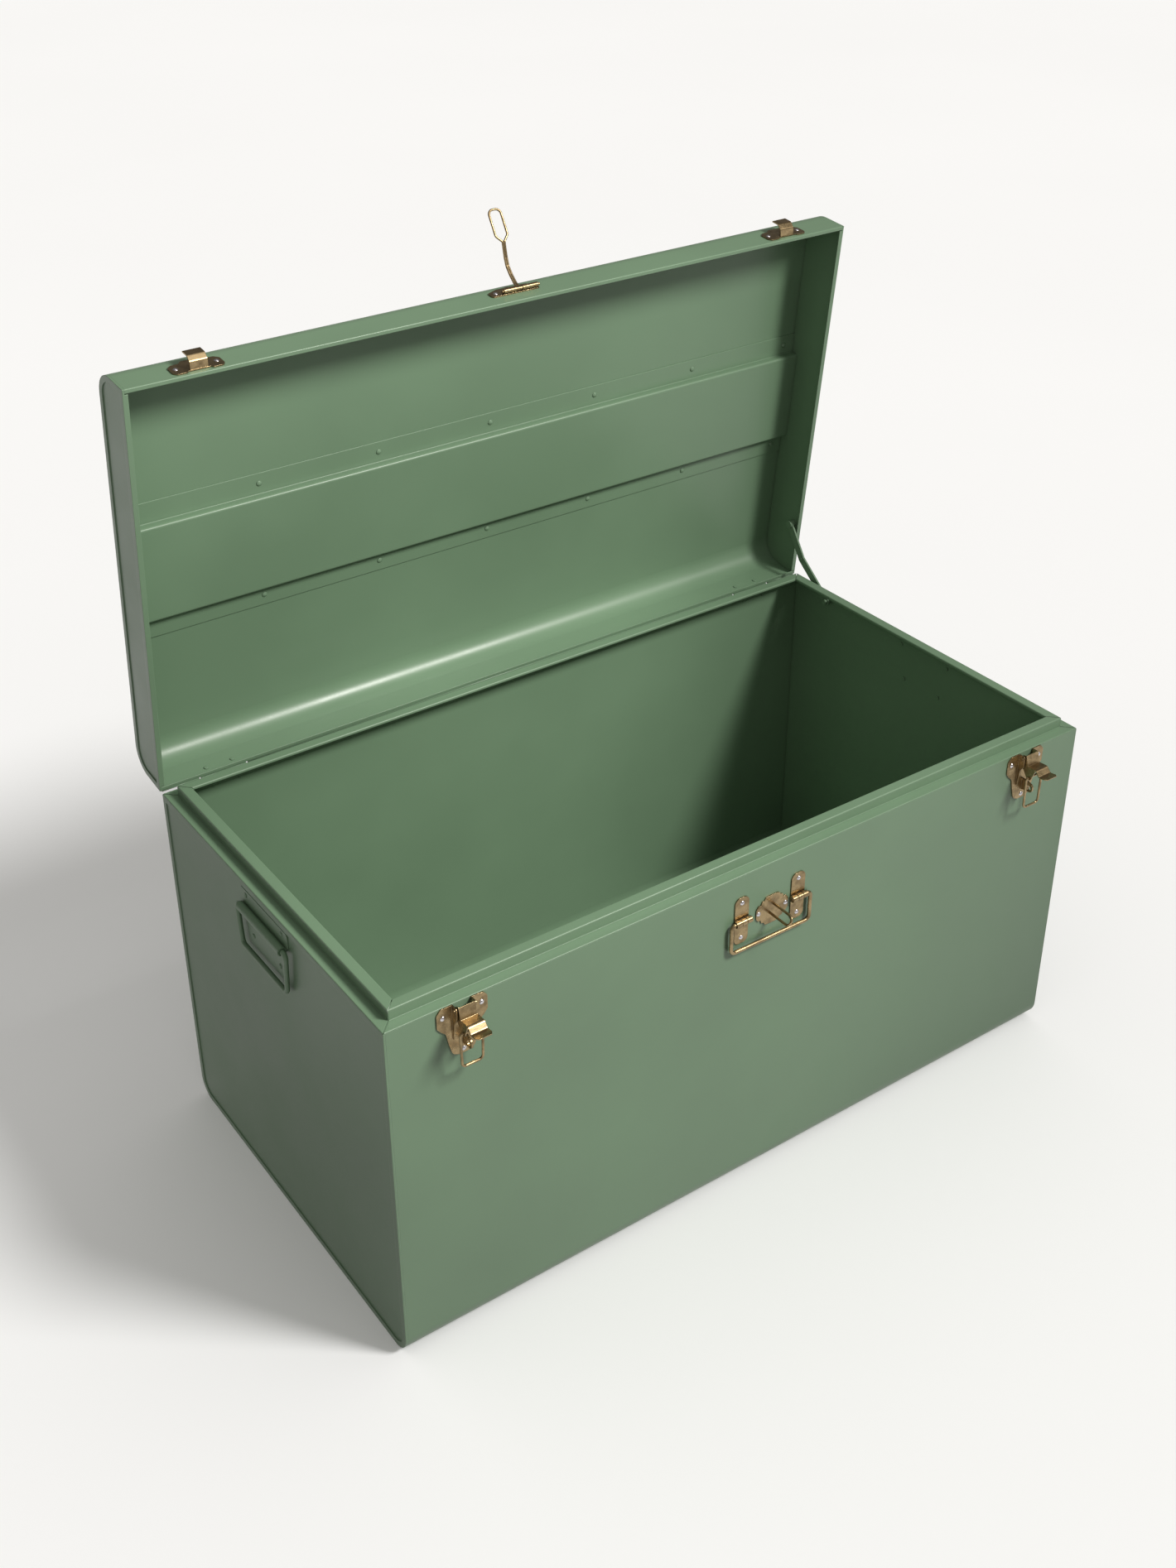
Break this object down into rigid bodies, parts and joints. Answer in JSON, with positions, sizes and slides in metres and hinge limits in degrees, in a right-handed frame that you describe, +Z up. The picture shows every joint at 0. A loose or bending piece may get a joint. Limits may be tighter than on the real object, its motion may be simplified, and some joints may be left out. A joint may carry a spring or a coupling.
{
  "type": "footlocker",
  "caption": "Painted sheet-steel trunk with a tray-shaped hinged lid, draw latches, hasp and staple, wire front handle and end handles.",
  "frame": {"origin": "centre of the underside of the trunk, on the floor", "axes": "+X along the long side, +Y from the latch side towards the hinges, +Z up"},
  "size_m": [0.8168, 0.5147, 0.866],
  "materials": {
    "green_paint": "satin sage green enamel",
    "brass": "thin brass plate on pressed steel",
    "rivet_steel": "bright domed rivets"
  },
  "bodies": {
    "trunk": {"body_wrap": "green_paint", "end_panel_left": "green_paint", "end_panel_right": "green_paint", "rim_front": "green_paint", "rim_back": "green_paint", "rim_left": "green_paint", "rim_right": "green_paint", "hinge_body_leaf_left": "green_paint", "hinge_body_leaf_right": "green_paint", "hinge_pin_left": "green_paint", "hinge_pin_right": "green_paint", "latch_base_left": "brass", "latch_base_right": "brass", "latch_pin_left": "brass", "latch_pin_right": "brass", "staple_plate": "brass", "staple_loop": "brass", "handle_lug_left": "brass", "handle_lug_right": "brass", "end_handle_plate_left": "green_paint", "end_handle_plate_right": "green_paint", "rivets_body_front": "rivet_steel", "rivets_end_handles": "green_paint", "rivets_hinge_body": "green_paint"},
    "lid": {"lid_front_skin": "green_paint", "lid_back_skin": "green_paint", "lid_channel": "green_paint", "lid_end_left": "green_paint", "lid_end_right": "green_paint", "hinge_lid_leaf_left": "green_paint", "hinge_lid_leaf_right": "green_paint", "lid_keeper_left": "brass", "lid_keeper_right": "brass", "hasp_plate": "brass", "hasp_pin": "brass", "stay_stud": "green_paint", "rivets_hinge_lid": "green_paint", "rivets_lid_front": "rivet_steel", "rivets_lid_band": "green_paint"},
    "hasp_arm": {"hasp": "brass"},
    "stay_strap": {"stay": "green_paint"},
    "front_handle": {"front_bail": "brass"},
    "end_handle_left": {"end_bail_left": "green_paint"},
    "end_handle_right": {"end_bail_right": "green_paint"},
    "lever_left": {"latch_lever_left": "brass"},
    "lever_right": {"latch_lever_right": "brass"},
    "loop_left": {"latch_loop_left": "brass"},
    "loop_right": {"latch_loop_right": "brass"}
  },
  "joints": [
    {"name": "lid_hinge", "type": "hinge", "parent": "trunk", "child": "lid", "pos_m": [0, 0.2138, 0.371], "axis": [1, 0, 0], "range_deg": [0, 84]},
    {"name": "stay_pivot", "type": "hinge", "parent": "lid", "child": "stay_strap", "pos_m": [0.3926, 0.2206, 0.4374], "axis": [1, 0, 0], "range_deg": [-44.1, 0]},
    {"name": "hasp_hinge", "type": "hinge", "parent": "lid", "child": "hasp_arm", "pos_m": [0.0053, 0.18887, 0.79954], "axis": [1, 0, 0], "range_deg": [0, 124]},
    {"name": "front_handle_hinge", "type": "hinge", "parent": "trunk", "child": "front_handle", "pos_m": [0.0012, -0.2153, 0.3245], "axis": [-1, 0, 0], "range_deg": [0, 110]},
    {"name": "end_handle_left_hinge", "type": "hinge", "parent": "trunk", "child": "end_handle_left", "pos_m": [-0.404, 0, 0.348], "axis": [0, 1, 0], "range_deg": [0, 95]},
    {"name": "end_handle_right_hinge", "type": "hinge", "parent": "trunk", "child": "end_handle_right", "pos_m": [0.404, 0, 0.348], "axis": [0, -1, 0], "range_deg": [0, 95]},
    {"name": "lever_left_hinge", "type": "hinge", "parent": "trunk", "child": "lever_left", "pos_m": [-0.327, -0.2176, 0.371], "axis": [-1, 0, 0], "range_deg": [0, 85]},
    {"name": "loop_left_hinge", "type": "hinge", "parent": "lever_left", "child": "loop_left", "pos_m": [-0.327, -0.226, 0.3525], "axis": [1, 0, 0], "range_deg": [-190, 0]},
    {"name": "lever_right_hinge", "type": "hinge", "parent": "trunk", "child": "lever_right", "pos_m": [0.327, -0.2176, 0.371], "axis": [-1, 0, 0], "range_deg": [0, 85]},
    {"name": "loop_right_hinge", "type": "hinge", "parent": "lever_right", "child": "loop_right", "pos_m": [0.327, -0.226, 0.3525], "axis": [1, 0, 0], "range_deg": [-190, 0]}
  ],
  "couplings": [
    {"joint": "stay_pivot", "follows": "lid_hinge", "ratio": -0.524}
  ]
}
